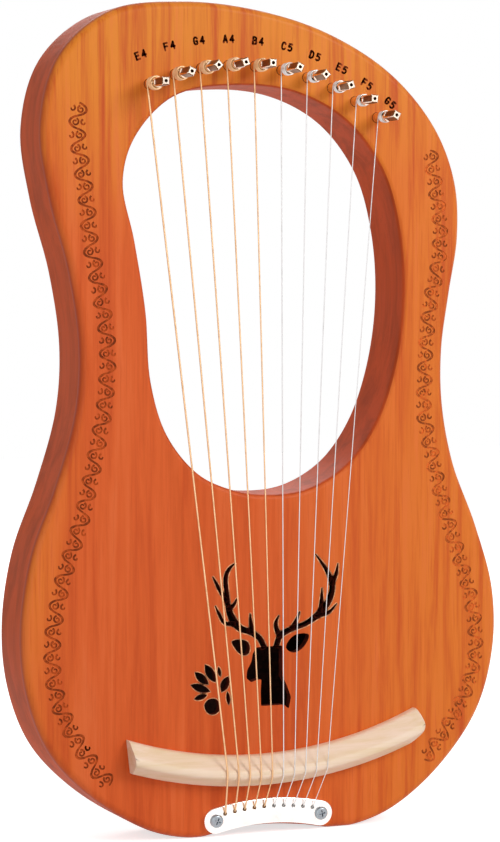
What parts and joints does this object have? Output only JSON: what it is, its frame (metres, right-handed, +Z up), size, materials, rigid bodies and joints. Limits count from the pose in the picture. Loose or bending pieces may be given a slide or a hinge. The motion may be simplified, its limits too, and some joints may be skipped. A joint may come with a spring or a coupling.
{
  "type": "lyre harp",
  "caption": "Upright lyre harp: hollow hourglass body with a through opening, arched bridge, tail plate, turning pins and wound strings, and a cut-out sound hole.",
  "frame": {"origin": "middle of the bounding box in X and Y, on the surface that the foot stands on", "axes": "+Z up along the strings, +X to the right of someone who looks at the front, +Y from the soundboard through the body to the back plate"},
  "size_m": [0.2482, 0.059, 0.4046],
  "materials": {
    "front_wood": "amber to red-orange stain under a satin lacquer",
    "side_wood": "red-brown stain under a satin lacquer",
    "spruce": "planed, unfinished",
    "maple": "smooth, oiled",
    "nickel": "bright plated",
    "screw_steel": "zinc plated",
    "pin_steel": "nickel plated",
    "wound_string": "bronze wound",
    "plain_string": "plain drawn wire"
  },
  "bodies": {
    "harp": {"soundboard": "front_wood", "back_plate": "side_wood", "yoke": "side_wood", "left_arm": "side_wood", "right_arm": "side_wood", "left_rim": "side_wood", "right_rim": "side_wood", "opening_rail": "side_wood", "tail_block": "side_wood", "soundboard_brace": "spruce", "back_brace": "spruce", "bridge": "maple", "tail_plate": "nickel", "tail_screw_left": "screw_steel", "tail_screw_right": "screw_steel", "string_1": "wound_string", "string_2": "wound_string", "string_3": "wound_string", "string_4": "wound_string", "string_5": "wound_string", "string_6": "plain_string", "string_7": "plain_string", "string_8": "plain_string", "string_9": "plain_string", "string_10": "plain_string"},
    "peg_1": {"tuning_pin_1": "pin_steel", "string_winding_1": "wound_string"},
    "peg_2": {"tuning_pin_2": "pin_steel", "string_winding_2": "wound_string"},
    "peg_3": {"tuning_pin_3": "pin_steel", "string_winding_3": "wound_string"},
    "peg_4": {"tuning_pin_4": "pin_steel", "string_winding_4": "wound_string"},
    "peg_5": {"tuning_pin_5": "pin_steel", "string_winding_5": "wound_string"},
    "peg_6": {"tuning_pin_6": "pin_steel", "string_winding_6": "plain_string"},
    "peg_7": {"tuning_pin_7": "pin_steel", "string_winding_7": "plain_string"},
    "peg_8": {"tuning_pin_8": "pin_steel", "string_winding_8": "plain_string"},
    "peg_9": {"tuning_pin_9": "pin_steel", "string_winding_9": "plain_string"},
    "peg_10": {"tuning_pin_10": "pin_steel", "string_winding_10": "plain_string"}
  },
  "joints": [
    {"name": "pin_1_turn", "type": "hinge", "parent": "harp", "child": "peg_1", "pos_m": [-0.06112, -0.0065, 0.36471], "axis": [0, 1, 0], "range_deg": [-900, 180]},
    {"name": "pin_2_turn", "type": "hinge", "parent": "harp", "child": "peg_2", "pos_m": [-0.04798, -0.0065, 0.36963], "axis": [0, 1, 0], "range_deg": [-900, 180]},
    {"name": "pin_3_turn", "type": "hinge", "parent": "harp", "child": "peg_3", "pos_m": [-0.03437, -0.0065, 0.37299], "axis": [0, 1, 0], "range_deg": [-900, 180]},
    {"name": "pin_4_turn", "type": "hinge", "parent": "harp", "child": "peg_4", "pos_m": [-0.02045, -0.0065, 0.37474], "axis": [0, 1, 0], "range_deg": [-900, 180]},
    {"name": "pin_5_turn", "type": "hinge", "parent": "harp", "child": "peg_5", "pos_m": [-0.00643, -0.0065, 0.37485], "axis": [0, 1, 0], "range_deg": [-900, 180]},
    {"name": "pin_6_turn", "type": "hinge", "parent": "harp", "child": "peg_6", "pos_m": [0.00751, -0.0065, 0.37332], "axis": [0, 1, 0], "range_deg": [-900, 180]},
    {"name": "pin_7_turn", "type": "hinge", "parent": "harp", "child": "peg_7", "pos_m": [0.02118, -0.0065, 0.37018], "axis": [0, 1, 0], "range_deg": [-900, 180]},
    {"name": "pin_8_turn", "type": "hinge", "parent": "harp", "child": "peg_8", "pos_m": [0.03439, -0.0065, 0.36546], "axis": [0, 1, 0], "range_deg": [-900, 180]},
    {"name": "pin_9_turn", "type": "hinge", "parent": "harp", "child": "peg_9", "pos_m": [0.04695, -0.0065, 0.35924], "axis": [0, 1, 0], "range_deg": [-900, 180]},
    {"name": "pin_10_turn", "type": "hinge", "parent": "harp", "child": "peg_10", "pos_m": [0.05871, -0.0065, 0.35159], "axis": [0, 1, 0], "range_deg": [-900, 180]}
  ]
}
